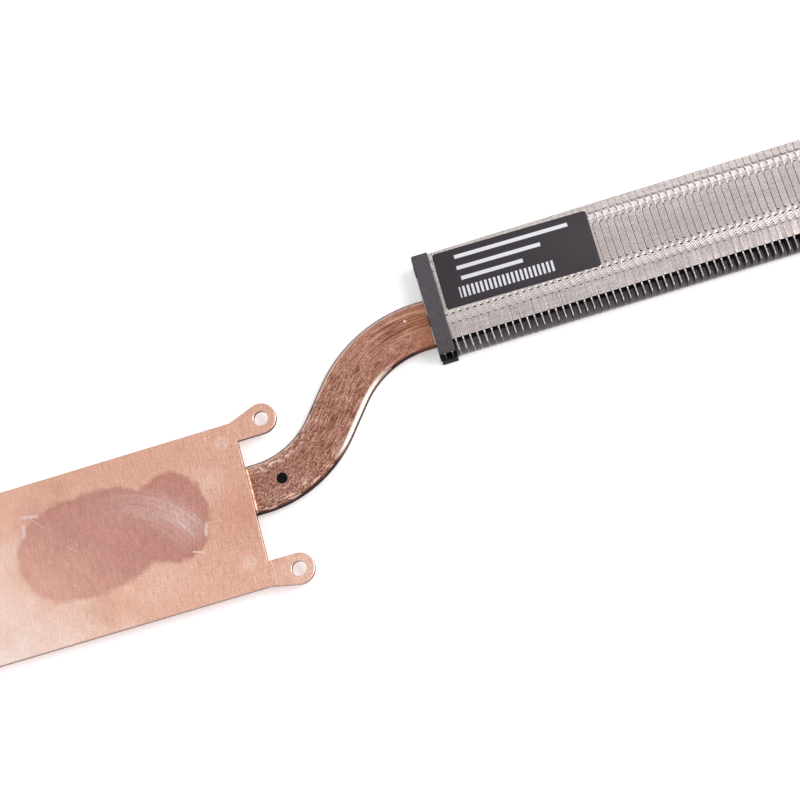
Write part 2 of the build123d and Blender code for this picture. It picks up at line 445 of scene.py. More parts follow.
# The pressed faces are not quite flat: they dip along the middle, are lightly dented and fall off at the
# shoulders. The bending die has ironed a facet along the front shoulder between the bends.
pressed_dip = 0.05 * mm
dent_depth = 0.035 * mm
dent_length = 3.5
dent_width = 1.6
flat_half = 3.9
shoulder_start = 3.2
shoulder_fall = 0.12 * mm
facet_start = 3.62
facet_fall = math.tan(math.radians(19))
facet_span = (12.0, 17.0, 28.0, 33.0)
on_pipe = pipe.data.attributes.new("on_pipe", "FLOAT_VECTOR", "POINT")
for vertex in pipe.data.vertices:
    along, across = place_on_pipe(vertex.co)
    height = (vertex.co.z - pipe_middle) / mm
    on_pipe.data[vertex.index].vector = (along, across, height)
    inside = max(0.0, 1 - (across / flat_half) ** 2)
    outside = max(0.0, abs(across) - shoulder_start) / (pipe_width / 2 / mm - shoulder_start)
    if vertex.co.x < pipe_high.x - nose_length:
        dent = noise.noise(Vector((along / dent_length, across / dent_width, height)))
        vertex.co.z -= math.copysign(inside * (pressed_dip + dent_depth * dent), height)
        vertex.co.z -= shoulder_fall * outside**2 * height / (pipe_thickness / 2 / mm)
    if height > 0 and across < -facet_start:
        ironed = ease(along, *facet_span[:2]) * ease(along, facet_span[3], facet_span[2])
        facet_level = pipe_high.z - (-across - facet_start) * facet_fall * mm
        vertex.co.z += ironed * min(0.0, facet_level - vertex.co.z)
bpy.ops.object.shade_smooth_by_angle(angle=sharp_angle)

# Pickled copper: browner and glossier than the plate, mottled by the flux bath and scored along its length.
# The pits are 0.1 mm or less and are drawn about twice as coarse, so that they show in the render.
pipe_copper = new_material("pickled_copper")
pit_size = 0.22
score_length = 1.8
score_width = 0.2
blotch_size = 2.6
blotch_share = 0.1
smooth_level = 0.57
run = add_node(pipe_copper, "Attribute", {}, output="Vector", attribute_name="on_pipe")
run_sides = add_node(pipe_copper, "SeparateXYZ", {"Vector": run}).node.outputs
run_along = run_sides["X"]
run_across = run_sides["Y"]
edge_reach = add_node(pipe_copper, "Math", {0: run_across}, operation="ABSOLUTE")
pits = add_node(
    pipe_copper, "TexNoise", {"Vector": run, "Scale": 1 / pit_size, "Detail": 4.0, "Roughness": 0.75}
)
score_scale = (1 / score_length, 1 / score_width, 1 / score_width)
scores = add_node(pipe_copper, "Mapping", {"Vector": run, "Scale": score_scale})
scores = add_node(pipe_copper, "TexNoise", {"Vector": scores, "Scale": 1.0, "Detail": 4.0, "Roughness": 0.7})
blotches = add_node(
    pipe_copper, "TexNoise", {"Vector": run, "Scale": 1 / blotch_size, "Detail": 4.0, "Roughness": 0.6}
)
scored = add_node(
    pipe_copper,
    "MapRange",
    {"Value": run_along, "From Min": 6.0, "From Max": 16.0, "To Min": 0.12, "To Max": 0.42},
)
texture = add_node(pipe_copper, "Mix", {0: scored, 2: pits, 3: scores}, data_type="FLOAT")
uneven = add_node(pipe_copper, "Mix", {0: blotch_share, 2: texture, 3: blotches}, data_type="FLOAT")
smoother = within(pipe_copper, 0.3, (run_along, 20.0, 36.0))
uneven = add_node(pipe_copper, "Mix", {0: smoother, 2: uneven, 3: smooth_level}, data_type="FLOAT")
tone = within(pipe_copper, 1.0, (uneven, 0.45, 0.58))
fleck = within(pipe_copper, 1.0, (uneven, 0.56, 0.64))

# It is darker beside the plate, where the flux lay thick, and its sides are painted dark, a painted shade for
# the dark floor that they reflect
flux = within(pipe_copper, 0.12, (run_along, 14.0, 4.0))
tarnish = within(pipe_copper, 1.0, (edge_reach, 4.0, 4.25))

# Bright specks in streaks, where dust in the die has scratched through the brown
speck_size = 0.15
specks = add_node(pipe_copper, "TexNoise", {"Vector": run, "Scale": 1 / speck_size, "Detail": 1.0})
speck_limits = ((scores, 0.46, 0.6), (edge_reach, 4.1, 3.9), (run_along, 36.0, 26.0))
specks = within(pipe_copper, 1.0, (specks, 0.56, 0.62), *speck_limits)

# Pink scuffs along both edges beside the plate, where the bending tool has slipped
scuff_turn = (0, 0, math.radians(-60))
scuff_scale = (1 / 1.3, 1 / 0.4, 1.0)
slips = add_node(pipe_copper, "Mapping", {"Vector": run, "Rotation": scuff_turn, "Scale": scuff_scale})
slips = add_node(pipe_copper, "TexNoise", {"Vector": slips, "Scale": 1.0, "Detail": 3.0})
scuff_limits = ((edge_reach, 2.0, 3.3), (edge_reach, 4.3, 4.05), (run_along, 18.0, 9.0))
scuff = within(pipe_copper, 1.0, (slips, 0.55, 0.6), *scuff_limits)

# Drawn ridges and heat tint where the pipe was soldered into the fins, and a painted shade that darkens it
# inside the fins up to its nose
ridge_scale = (1 / 8.0, 1 / 0.36, 1.0)
ridges = add_node(pipe_copper, "Mapping", {"Vector": run, "Scale": ridge_scale})
ridges = add_node(pipe_copper, "TexNoise", {"Vector": ridges, "Scale": 1.0, "Detail": 2.0})
ridge_limits = ((run_along, 30.0, 36.0), (run_across, -1.6, 0.2), (run_across, 3.6, 2.6))
furrow = within(pipe_copper, 0.9, (ridges, 0.45, 0.38), *ridge_limits)
crest = within(pipe_copper, 0.8, (ridges, 0.54, 0.6), *ridge_limits)
tint = within(pipe_copper, 0.45, (run_along, 38.5, 43.5))
soot = within(pipe_copper, 1.0, (run_along, 44.5, 46.0), (run_along, 111.0, 109.0))

# Painted highlights: a thin pale line along the rear shoulder, and the pale colour of the ironed facet, which
# breaks up towards the fins
facet_break = 9.0
rear_limits = ((run_across, 3.75, 3.95), (run_across, 4.35, 4.15))
rear_line = within(pipe_copper, 0.8, (blotches, 0.3, 0.5), *rear_limits)
facet = add_node(pipe_copper, "Math", {0: slips, 1: facet_break, 2: run_along}, operation="MULTIPLY_ADD")
facet_limits = ((run_across, -3.55, -3.7), (run_across, -4.45, -4.3), (run_along, 12.5, 16.0))
facet = within(pipe_copper, 1.0, (facet, 37.5, 35.0), *facet_limits)
coats = [
    (tone, "D09985"),
    (fleck, "F2CBB9"),
    (flux, "000000"),
    (tarnish, "3A2422"),
    (specks, "FADCCD"),
    (scuff, "F8CFBB"),
    (furrow, "7E4A35"),
    (crest, "E0B09A"),
    (tint, "B87850"),
    (soot, "2F2628"),
    (rear_line, "F3D2C3"),
    (facet, "F6DCCF"),
]

# A dot of black ink by the plate, and a white dot by the fins, a painted glint: middle, outer and inner
# radius
pipe_spots = (
    ((31.85, 2.57, -1.0), 1.04, 0.94, "1E191C"),
    ((60.0, 23.5, -1.0), 0.26, 0.16, "FFF6EE"),
)
pipe_place = add_node(pipe_copper, "TexCoord", {}, output="Object")
pipe_place = add_node(pipe_copper, "Mapping", {"Vector": pipe_place, "Scale": (1 / mm, 1 / mm, 1 / mm)})
for middle, outer, inner, spot_colour in pipe_spots:
    away = add_node(
        pipe_copper, "VectorMath", {0: pipe_place, 1: middle}, output="Value", operation="DISTANCE"
    )
    coats.append((within(pipe_copper, 1.0, (away, outer, inner)), spot_colour))
pipe_colour = lay_coats(pipe_copper, "7A4736", coats)

# The facet shines most and has no pits, and the sides under the painted shade are dull
facet_gloss = 0.22
tarnish_gloss = 0.7
pipe_gloss = add_node(pipe_copper, "MapRange", {"Value": blotches, "To Min": 0.28, "To Max": 0.46})
for strength, gloss in ((tarnish, tarnish_gloss), (facet, facet_gloss)):
    pipe_gloss = add_node(pipe_copper, "Mix", {0: strength, 2: pipe_gloss, 3: gloss}, data_type="FLOAT")
oxide = add_node(pipe_copper, "Math", {0: tarnish, 1: facet}, operation="SUBTRACT", use_clamp=True)
pipe_metal = add_node(pipe_copper, "MapRange", {"Value": oxide, "To Min": 1.0, "To Max": 0.35})
pipe_height = add_node(pipe_copper, "Mix", {0: facet, 2: texture, 3: 0.5}, data_type="FLOAT")
pipe_relief = add_node(pipe_copper, "Bump", {"Strength": 0.8, "Distance": 0.03 * mm, "Height": pipe_height})
pickled = {"Base Color": pipe_colour, "Metallic": pipe_metal, "Roughness": pipe_gloss, "Normal": pipe_relief}
pipe_surface = add_node(pipe_copper, "BsdfPrincipled", pickled)
add_node(pipe_copper, "OutputMaterial", {"Surface": pipe_surface})
pipe.data.materials.append(pipe_copper)
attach(pipe, "root")
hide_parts("heat_pipe")

# Solder. Soft tin solder that ran into the joint of the plate and the pipe and froze there as uneven beads:
# one across the pipe at the plate's end and one along each side of the pipe below the plate.
plate_end = 26.0 * mm
seam_radius = 0.55 * mm
seam_inset = 0.3 * mm
seam_gap = 0.12 * mm
side_radius = 0.3 * mm
side_sink = 0.05 * mm
side_inset = 1.0 * mm
side_setback = 2.0 * mm
bead_step = 0.25 * mm
fewest_steps = 8
lump_size = 0.7 * mm
least_fullness = 0.04
across_y = Vector((0, 1, 0))


def solder_bead(piece_name, start, way, length, radius, unevenness):
    """A lumpy bead in a straight line, rounded at both ends."""
    bead = start_piece(
        piece_name,
        bpy.ops.mesh.primitive_circle_add,
        (1, 1, 1),
        vertices=10,
        radius=radius,
        fill_type="NGON",
        location=start,
        rotation=way.to_track_quat("Z", "Y").to_euler(),
    )
    draw_out(way, length, max(fewest_steps, round(length / bead_step)))
    close_piece()
    for vertex in bead.data.vertices:
        from_start = (vertex.co - start).dot(way)
        axis_point = start + way * from_start
        end_share = min(from_start, length - from_start) / radius
        fullness = math.sqrt(max(least_fullness, 1 - max(0.0, 1 - end_share) ** 2))
        lump = 1 + unevenness * noise.noise(Vector((from_start / lump_size, radius / mm, len(piece_name))))
        vertex.co = axis_point + (vertex.co - axis_point) * fullness * lump
    bpy.ops.object.shade_smooth()
    return bead


# Soft solder: bright, coppery where it lies thin on the copper that it wets, and wrinkled where it froze
wrinkle_sizes = (0.35, 0.35, 0.35)
solder = mottled_metal(
    "soft_solder", "C08468", "F1CDB7", wrinkle_sizes, detail=4.0, roughness=0.42, relief=(0.3, 0.05)
)
seam_y = first_run_y - pipe_width / 2 + seam_inset
seam_start = Vector((plate_end + seam_gap, seam_y, pipe_high.z + seam_radius / 2))
side_start = Vector((pipe_low.x + side_inset, 0, pipe_high.z - side_radius / 2))
side_length = plate_end - side_setback - side_start.x
seam_length = pipe_width - 2 * seam_inset
beads = [solder_bead("end_solder", seam_start, across_y, seam_length, seam_radius, unevenness=0.16)]
for bead_name, side in (("front_solder", -1), ("rear_solder", 1)):
    side_start.y = first_run_y + side * (pipe_width / 2 - side_sink)
    bead = solder_bead(bead_name, side_start.copy(), straight, side_length, side_radius, unevenness=0.5)
    beads.append(bead)
for bead in beads:
    bead.data.materials.append(solder)
    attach(bead, "root")

# Fins. Each is a strip of thin nickel-plated aluminium, blanked and folded: a web, a top flange with two rows
# of lanced tongues, and bottom flanges beside the pipe. The tongues hook over the next fin's fold, which zips
# the stack together.
fin_low, fin_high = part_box("fin_01")
fin_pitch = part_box("fin_02")[0].x - fin_low.x
fin_count = 55
fin_sheet = 0.2 * mm
fin_gap = 0.06 * mm
front_edge = fin_low.y
rear_edge = fin_high.y
fin_bottom = fin_low.z
fin_top = fin_high.z
web_face = fin_high.x
free_edge = web_face - fin_pitch + fin_gap
flange_reach = web_face - free_edge
flange_depth = 16.4 * mm
web_cut = 0.5 * mm
channel_front = front_edge + 2.35 * mm
channel_rear = channel_front + 9.3 * mm
solder_level = -0.95 * mm
near = 0.01 * mm

# Rows across the flange, measured from the rear edge, and columns from the free edge to the fold
groove = (1.45, 1.65, 1.85)
rear_tongue = (1.85, 2.1, 2.4, 2.85, 2.95, 3.05, 3.4)
rear_lance = (3.4, 3.56)
hook_rows = (3.56, 3.65, 3.8, 4.0, 4.3)
flat_rows = (1.3, 10.6, 14.0)
front_notch = (10.9, 11.1)
front_tongue = (11.1, 11.5, 11.8, 12.02, 12.6, 13.1, 13.4, 13.6)
front_slot = (11.8, 12.02)
front_lance = (13.6, 13.75)
columns = (0.0, 0.18, 0.35, 0.5, 0.7, 0.86, 0.95)
tongue_tip = 0.34


def from_rear(y):
    """How far a place lies in front of the rear edge, in mm."""
    return (rear_edge - y) / mm


def from_free(x):
    """How far a place lies from the free edge towards the fold, in mm."""
    return (x - free_edge) / mm


def in_span(value, low, high):
    """Whether a place lies in a span, ends included."""
    slack = near / mm
    return low - slack <= value <= high + slack


def spans(element, low, high):
    """Whether all of an edge or face lies in a span of the flange, measured from the rear edge."""
    return all(in_span(from_rear(v.co.y), low, high) for v in element.verts)


def level_with(element, axis, value):
    """Whether all of an edge or face lies at one place on an axis."""
    return all(abs(v.co[axis] - value) < near for v in element.verts)


fin = start_piece(
    "folded_fin_01",
    bpy.ops.mesh.primitive_plane_add,
    (fin_top - fin_bottom, rear_edge - front_edge, 1),
    size=1.0,
    location=(web_face, (front_edge + rear_edge) / 2, (fin_top + fin_bottom) / 2),
    rotation=(0, math.pi / 2, 0),
)
row_marks = {*groove, *rear_tongue, *rear_lance, *hook_rows, *flat_rows}
row_marks |= {*front_notch, *front_tongue, *front_lance}
row_places = [rear_edge - mark * mm for mark in sorted(row_marks)]
for cut_y in (*row_places, rear_edge - flange_depth, channel_front, channel_rear):
    bpy.ops.mesh.select_all(action="SELECT")
    bpy.ops.mesh.bisect(plane_co=(web_face, cut_y, 0), plane_no=(0, 1, 0))
for cut_z in (fin_top - web_cut, solder_level):
    bpy.ops.mesh.select_all(action="SELECT")
    bpy.ops.mesh.bisect(plane_co=(web_face, 0, cut_z), plane_no=(0, 0, 1))
channel = (from_rear(channel_rear), from_rear(channel_front))
select_where("FACE", lambda face: face.calc_center_median().z < solder_level and spans(face, *channel))
bpy.ops.mesh.delete(type="FACE")


def fold_out(level, low, high, steps):
    """Draws the web's edges at one level out towards the free edge, column by column."""
    select_where(
        "EDGE",
        lambda edge: level_with(edge, 0, web_face) and level_with(edge, 2, level) and spans(edge, low, high),
    )
    for step in steps:
        bpy.ops.mesh.extrude_region_move(TRANSFORM_OT_translate={"value": (-step, 0, 0)})


column_ends = [*reversed(columns)]
column_steps = [flange_reach - column_ends[0] * mm]
column_steps += [(right - left) * mm for right, left in zip(column_ends, column_ends[1:])]
fold_out(fin_top, 0.0, flange_depth / mm, column_steps)
fold_out(fin_bottom, from_rear(channel_front), from_rear(front_edge), [flange_reach])
fold_out(fin_bottom, 0.0, from_rear(channel_rear), [flange_reach])
fold_out(solder_level, *channel, [flange_reach])

# Lances beside the tongues, the slot in the front ones and the slit behind the rear ones
cut_outs = (
    (rear_lance, columns[0], columns[4]),
    (front_notch, columns[0], columns[3]),
    (front_lance, columns[0], columns[2]),
    (front_slot, columns[2], columns[6]),
    ((rear_tongue[0], rear_tongue[2]), columns[5], columns[6]),
)
select_where(
    "FACE",
    lambda face: level_with(face, 2, fin_top)
    and any(
        spans(face, *rows) and all(in_span(from_free(v.co.x), left, right) for v in face.verts)
        for rows, left, right in cut_outs
    ),
)
bpy.ops.mesh.delete(type="FACE")

# Tongue tips, drawn out past the free edge
select_where(
    "EDGE",
    lambda edge: level_with(edge, 0, free_edge)
    and level_with(edge, 2, fin_top)
    and (spans(edge, rear_tongue[0], rear_tongue[-1]) or spans(edge, front_tongue[0], front_tongue[-1])),
)
draw_out(-straight, tongue_tip * mm, steps=2)

# The front corner of the web is rounded off, as the blanking die leaves it
corner_radius = 0.32 * mm
select_where("VERT", lambda v: abs(v.co.y - front_edge) < near and abs(v.co.z - fin_top) < near)
bpy.ops.mesh.bevel(affect="VERTICES", offset=corner_radius, segments=8)

# The folds are rounded where the flanges leave the web
fold_radius = 0.12 * mm
fold_levels = (fin_top, fin_bottom, solder_level)
select_where(
    "EDGE",
    lambda edge: level_with(edge, 0, web_face)
    and any(level_with(edge, 2, level) for level in fold_levels)
    and edge.is_manifold,
)
bpy.ops.mesh.bevel(affect="EDGES", offset=fold_radius, segments=3)
bpy.ops.object.mode_set(mode="OBJECT")

# Pressed forms in mm: the groove, the hook at the middle tab's corner, and tongues that sink towards their
# own fold and run out level at one end or both. Their tips are cut back at a slant, and the outer tabs rise
# to close on the next fin's. The notch tapers, and the cuts in the front tongue leave burrs.
flange_band = 0.4 * mm
groove_depth = 0.09
hook_reach = 0.55
hook_drop = 0.42
tongue_rise = 0.07
front_fall = 0.13
rear_fall = 0.165
fall_end = 1.1
level_share = 0.75
rear_level = (2.4, 3.4)
front_levels = ((11.9, 11.5), (13.1, 13.5))
crease_depth = 0.08
slit_lean = 0.13
slit_rows = (1.9, 3.2)
rear_slant = (1.9, 2.6)
rear_slant_share = 0.65
front_slant = (12.2, 13.5)
seam_rise = 0.05
seam_close = 0.035
front_rise = 0.02
front_close = 0.05
notch_taper = 0.16
burr_rise = 0.06
for vertex in fin.data.vertices:
    row = from_rear(vertex.co.y)
    column = from_free(vertex.co.x)
    if vertex.co.z < fin_top - flange_band or row > flange_depth / mm:
        continue
    on_front = in_span(row, front_tongue[0], front_tongue[-1])
    on_rear = in_span(row, rear_tongue[0], rear_tongue[-1])
    by_fold = in_span(column, columns[5], columns[6])
    hook = hook_drop * max(0.0, 1 - max(0.0, column) / hook_reach) ** 2
    at_edge = max(0.0, 1 - column / columns[-1])
    push = Vector()
    if in_span(row, groove[1], groove[1]):
        push.z -= groove_depth
    if in_span(row, hook_rows[0], hook_rows[-1]):
        push.y -= hook * (hook_rows[-1] - row) / (hook_rows[-1] - hook_rows[0])
    if in_span(row, rear_tongue[-1], rear_tongue[-1]):
        push.y -= hook
    if on_front or on_rear:
        fall = min(1.0, max(0.0, (column + tongue_tip) / (fall_end + tongue_tip)))
        level = ease(row, *rear_level) if on_rear else max(ease(row, *span) for span in front_levels)
        drop = (rear_fall if on_rear else front_fall) * fall
        push.z += (tongue_rise - drop) * (1 - level_share * level)
        if column < 0:
            slant = ease(row, *front_slant) if on_front else rear_slant_share * ease(row, *rear_slant)
            push.x -= column * slant
    if in_span(row, rear_tongue[4], rear_tongue[4]):
        push.z -= crease_depth
    if in_span(row, rear_tongue[0], rear_tongue[2]) and by_fold:
        push.x += min(slit_lean, tongue_tip * ease(row, *slit_rows))
    if row > front_lance[-1] - near / mm or row < groove[0] + near / mm:
        push.x -= (seam_close if row < groove[1] else front_close) * at_edge
        push.z += (seam_rise if row < groove[1] else front_rise) * at_edge
    if in_span(row, front_notch[0], front_notch[0]) and in_span(column, columns[2], columns[3]):
        push.y -= notch_taper * (column - columns[1]) / (columns[3] - columns[1])
    if in_span(row, front_tongue[1], front_tongue[1]) and in_span(column, columns[1], columns[2]):
        push.z += burr_rise
    if in_span(row, front_slot[1], front_slot[1]) and by_fold:
        push.z += burr_rise
    vertex.co += push * mm
finish_with("SOLIDIFY", thickness=fin_sheet, offset=-1.0, use_even_offset=True)

# The bare top edge of the web in front of the flange is rolled round by the cut
edge_roll = 0.085 * mm
cut_roll = 0.02 * mm
cut_angle = math.radians(60)
fin_crease_angle = math.radians(12)
bpy.ops.object.mode_set(mode="EDIT")
select_where(
    "EDGE",
    lambda edge: all(v.co.z > fin_top - corner_radius - near for v in edge.verts)
    and spans(edge, flange_depth / mm, from_rear(front_edge))
    and abs(edge.verts[0].co.x - edge.verts[1].co.x) < near
    and edge.calc_face_angle(0.0) > sharp_angle,
)
bpy.ops.mesh.bevel(affect="EDGES", offset=edge_roll, segments=8)
bpy.ops.object.mode_set(mode="OBJECT")
finish_with("BEVEL", width=cut_roll, segments=1, limit_method="ANGLE", angle_limit=cut_angle)
bpy.ops.object.shade_smooth_by_angle(angle=fin_crease_angle)

# Nickel-plated aluminium: a warm pale grey with rolling lines along the stack and a soft sheen.
# Rolling lines are about 0.05 mm apart and are drawn four times as coarse, so that they show in the render.
plated = new_material("nickel_plated_aluminium")
roll_scale = (1 / 3.0, 1 / 0.2, 1 / 0.2)
fin_grit_size = 0.3
fin_grit_share = 0.65
rear = rear_edge / mm
front = front_edge / mm
fin_place = add_node(plated, "TexCoord", {}, output="Object")
fin_place = add_node(plated, "Mapping", {"Vector": fin_place, "Scale": (1 / mm, 1 / mm, 1 / mm)})
fin_sides = add_node(plated, "SeparateXYZ", {"Vector": fin_place}).node.outputs
fin_along = fin_sides["X"]
fin_depth = fin_sides["Y"]
rolled = add_node(plated, "Mapping", {"Vector": fin_place, "Scale": roll_scale})
rolled = add_node(plated, "TexNoise", {"Vector": rolled, "Scale": 1.0, "Detail": 3.0, "Roughness": 0.65})
fin_grit = add_node(
    plated, "TexNoise", {"Vector": fin_place, "Scale": 1 / fin_grit_size, "Detail": 3.0, "Roughness": 0.7}
)
fin_texture = add_node(plated, "Mix", {0: fin_grit_share, 2: rolled, 3: fin_grit}, data_type="FLOAT")
fin_tone = within(plated, 1.0, (fin_texture, 0.39, 0.61))

# The middle and front of the flanges are darker, and the far end of the stack is greyer
dulled = within(plated, 0.29, (fin_depth, rear - 2.5, rear - 7.5))
far_grey = within(plated, 0.16, (fin_along, 102.0, 132.0))

# The front tabs are scratched from front to rear, where the case has rubbed them
scratch_scale = (1 / 0.2, 1 / 4.0, 1 / 4.0)
scratches = add_node(plated, "Mapping", {"Vector": fin_place, "Scale": scratch_scale})
scratches = add_node(plated, "TexNoise", {"Vector": scratches, "Scale": 1.0, "Detail": 3.0, "Roughness": 0.7})
scratches = add_node(
    plated,
    "MapRange",
    {"Value": scratches, "From Min": 0.36, "From Max": 0.64, "To Min": 0.78, "To Max": 1.22},
)
on_tabs = within(plated, 1.0, (fin_depth, rear - 13.5, rear - 13.9))
scratches = add_node(plated, "Mix", {0: on_tabs, 2: 1.0, 3: scratches}, data_type="FLOAT")


def stripe(middle, outer, inner, most):
    """The strength of a stripe along the stack, with its half widths for nothing and for the most."""
    away = add_node(plated, "Math", {0: fin_depth, 1: middle}, operation="SUBTRACT")
    away = add_node(plated, "Math", {0: away}, operation="ABSOLUTE")
    return within(plated, most, (away, outer, inner))


# The rear tongues carry a painted highlight, and a painted shade lies in the crease in front of them. The
# burrs at both ends of a bare web edge carry painted highlights, and the front tongues carry a painted sheen
# at the stack's near end.
rear_shine = stripe(rear - 2.4, 0.55, 0.4, 0.2)
crease_dust = stripe(rear - 2.99, 0.14, 0.04, 0.45)
front_burr = stripe(front + 0.15, 0.3, 0.15, 0.85)
rear_burr = stripe(front + 2.0, 0.3, 0.15, 0.85)
front_shine = within(plated, stripe(rear - 12.35, 1.3, 1.1, 0.26), (fin_along, 112.0, 72.0))

# Slanting creases across the front tongues, like a rope's strands, with painted highlights on the crests and
# painted shade between
rope_pitch = 0.42
rope_slope = 0.53
rope_relief = 0.45
rope_start = rear - 12.6
rope_hold = ((fin_depth, rear - 13.6, rear - 13.2), (fin_depth, rear - 12.0, rear - 12.15))
rope = add_node(plated, "Math", {0: fin_along, 1: free_edge / mm}, operation="SUBTRACT")
rope = add_node(plated, "Math", {0: rope, 1: fin_pitch / mm}, operation="FLOORED_MODULO")
rope = add_node(plated, "Math", {0: rope, 1: -rope_slope, 2: fin_depth}, operation="MULTIPLY_ADD")
rope = add_node(plated, "Math", {0: rope, 1: rope_start}, operation="SUBTRACT")
rope = add_node(plated, "Math", {0: rope, 1: 2 * math.pi / rope_pitch}, operation="MULTIPLY")
rope = add_node(plated, "Math", {0: rope}, operation="COSINE")
rope = within(plated, rope, *rope_hold)
bright_strand = within(plated, 0.4, (rope, 0.4, 1.0), *rope_hold)
dusty_strand = within(plated, 0.6, (rope, 0.4, -0.7), *rope_hold)
coats = (
    (fin_tone, "E6DDDA"),
    (dulled, "857B7C"),
    (1.0, scratches, "MULTIPLY"),
    (rear_shine, "FAF8F9"),
    (front_burr, "FAF8F9"),
    (rear_burr, "FAF8F9"),
    (far_grey, "000000"),
    (front_shine, "FFF6F1"),
    (crease_dust, "857B7C"),
    (bright_strand, "FFFFFF"),
    (dusty_strand, "7E7475"),
)
fin_colour = lay_coats(plated, "B5A8A4", coats)
fin_height = add_node(plated, "Math", {0: rope, 1: rope_relief, 2: fin_texture}, operation="MULTIPLY_ADD")
fin_relief = add_node(plated, "Bump", {"Strength": 0.4, "Distance": 0.02 * mm, "Height": fin_height})
sheen = {"Base Color": fin_colour, "Metallic": 1.0, "Roughness": 0.34, "Normal": fin_relief}
fin_surface = add_node(plated, "BsdfPrincipled", sheen)
add_node(plated, "OutputMaterial", {"Surface": fin_surface})
fin.data.materials.append(plated)

# Painted shade on the plating: the webs are painted dark where shade falls between the fins, darkest below
# the foam as a painted shadow. The bottom flanges are painted pale between them, a painted light where light
# reaches them.
dusty = new_material("dusty_plating")
dust_size = 0.4 * mm
pale_floor = (fin_bottom + 1.0 * mm, fin_bottom + 0.2 * mm)
foam_shade = (free_edge + 3.3 * mm, free_edge + 3.0 * mm)
dust_place = add_node(dusty, "TexCoord", {}, output="Object")
dust_sides = add_node(dusty, "SeparateXYZ", {"Vector": dust_place}).node.outputs
dust_grain = add_node(dusty, "TexNoise", {"Vector": dust_place, "Scale": 1 / dust_size, "Detail": 4.0})
on_floor = within(dusty, 1.0, (dust_sides["Z"], *pale_floor))
below_foam = within(dusty, 1.0, (dust_sides["X"], *foam_shade))
dust_coats = [(dust_grain, "605158"), (on_floor, "D8CDD2"), (below_foam, "1E191B")]
dust_colour = lay_coats(dusty, "493A40", dust_coats)
dull_metal = {"Base Color": dust_colour, "Metallic": 0.4, "Roughness": 0.65}
dust_surface = add_node(dusty, "BsdfPrincipled", dull_metal)
add_node(dusty, "OutputMaterial", {"Surface": dust_surface})
fin.data.materials.append(dusty)

# Painted shade lies on all that is below the flanges and on the webs' sides. It also fills the seams behind
# the front tongues, except at the front of the rear ones, and none goes on faces that look down or on the
# rear edges.
dust_line = 0.3 * mm
web_dust_line = 0.09 * mm
tongue_dust_line = 0.25 * mm
steep = 0.7
seam_steep = 0.4
clean_rows = (2.5, rear_lance[1])
for face in fin.data.polygons:
    row = from_rear(face.center.y)
    depth = fin_top - face.center.z
    sideways = abs(face.normal.x)
    at_seam = sideways > seam_steep and row < front_tongue[0] and not clean_rows[0] < row < clean_rows[1]
    hidden = tongue_dust_line if front_tongue[0] < row < front_tongue[-1] else web_dust_line
    dusted = depth > dust_line or at_seam or (sideways > steep and depth > hidden)
    face.material_index = 1 if dusted and face.normal.z > -steep and face.normal.y < steep else 0

# The stack: the fin is copied along, and each flange sags by a little play of its own. The first fin's tips,
# which have no neighbour to lap over, are trimmed at the free edge, and the last fin's outer side has no
# painted shade.
fold_play = 0.03 * mm
stiff_share = 0.25
chance = random.Random(7)
stack = [fin]
for number in range(1, fin_count):
    copied = fin.copy()
    copied.data = fin.data.copy()
    copied.name = f"folded_fin_{number + 1:02d}"
    copied.data.transform(Matrix.Translation((number * fin_pitch, 0, 0)))
    bpy.context.collection.objects.link(copied)
    stack.append(copied)
for number, copied in enumerate(stack):
    play = chance.uniform(-fold_play, 0)
    fold_x = web_face + number * fin_pitch
    for vertex in copied.data.vertices:
        out = (fold_x - vertex.co.x) / flange_reach
        if vertex.co.z > fin_top - web_cut and out > stiff_share:
            vertex.co.z += play * out
    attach(copied, "root")
    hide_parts(f"fin_{number + 1:02d}")
for vertex in stack[0].data.vertices:
    vertex.co.x = max(vertex.co.x, free_edge)
for face in stack[-1].data.polygons:
    if face.normal.x > steep:
        face.material_index = 0

# The pipe is soldered into the fins' channel along both sides, and this solder takes the same painted shade
# as the webs
channel_radius = 0.22 * mm
channel_sink = 0.03 * mm
channel_inset = 0.3 * mm
for bead_name, side in (("channel_solder_front", -1), ("channel_solder_rear", 1)):
    bead_y = last_run_y + side * (pipe_width / 2 - channel_sink)
    bead_start = Vector((free_edge + channel_inset, bead_y, fin_bottom + channel_radius + near))
    bead_length = pipe_high.x - nose_length - bead_start.x
    bead = solder_bead(bead_name, bead_start, straight, bead_length, channel_radius, unevenness=0.1)
    bead.data.materials.append(dusty)
    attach(bead, "root")

# Foam strips. Die-cut closed-cell foam tape, stuck above and below the first fins to seal them to the case.
# It gives a little, so its edges are soft and its top is not quite flat. The upper strip ends level with the
# fins' front edge, so that their ends show below it.
foam_roll = 0.12 * mm
foam_dimple = 0.03 * mm
dimple_size = 0.9 * mm
foam_cuts_y = 48
foam_cuts_x = 8
foam_crease_angle = math.radians(50)
upper_setback = 0.5 * mm
dimple_seed = 7
noise.seed_set(dimple_seed)


